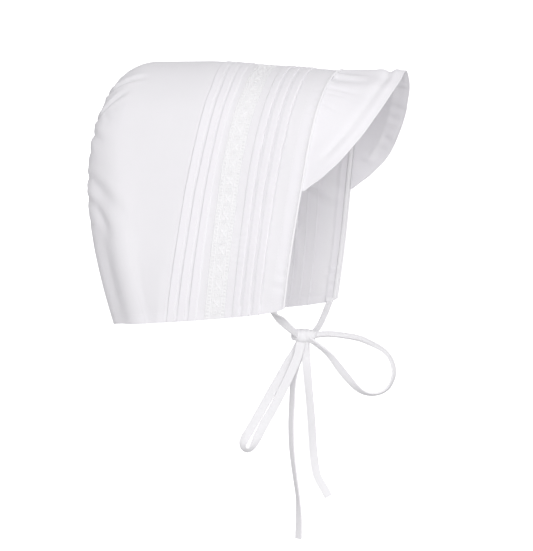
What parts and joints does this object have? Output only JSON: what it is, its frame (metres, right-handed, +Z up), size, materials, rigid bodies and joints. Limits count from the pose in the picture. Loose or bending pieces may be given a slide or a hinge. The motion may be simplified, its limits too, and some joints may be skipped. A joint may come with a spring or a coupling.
{
  "type": "baby bonnet",
  "caption": "Soft tucked baby bonnet with an openwork strip over the crown, a shaped brim, a horseshoe back and ties in a bow.",
  "frame": {"origin": "under the ridge of the crown, where the top of the head bears and holds the bonnet up", "axes": "+Z up; the face opening looks along -Y and the back of the head along +Y; the wearer's right side is -X"},
  "size_m": [0.1214, 0.1889, 0.2875],
  "materials": {
    "batiste": "thin white woven cotton, pressed, matte with a faint sheen",
    "openwork": "white embroidered openwork insertion, matte",
    "tie_cloth": "white cotton folded and stitched into a flat narrow strap, matte"
  },
  "bodies": {
    "root": {"back_panel": "batiste", "crown_rear": "batiste", "lace_insertion": "openwork", "front_band": "batiste", "piping": "batiste", "brim": "batiste", "strap_right": "tie_cloth", "strap_left": "tie_cloth", "bow_knot": "tie_cloth", "loop_rear": "tie_cloth", "loop_front": "tie_cloth", "tail_front": "tie_cloth", "tail_rear": "tie_cloth"}
  },
  "joints": []
}
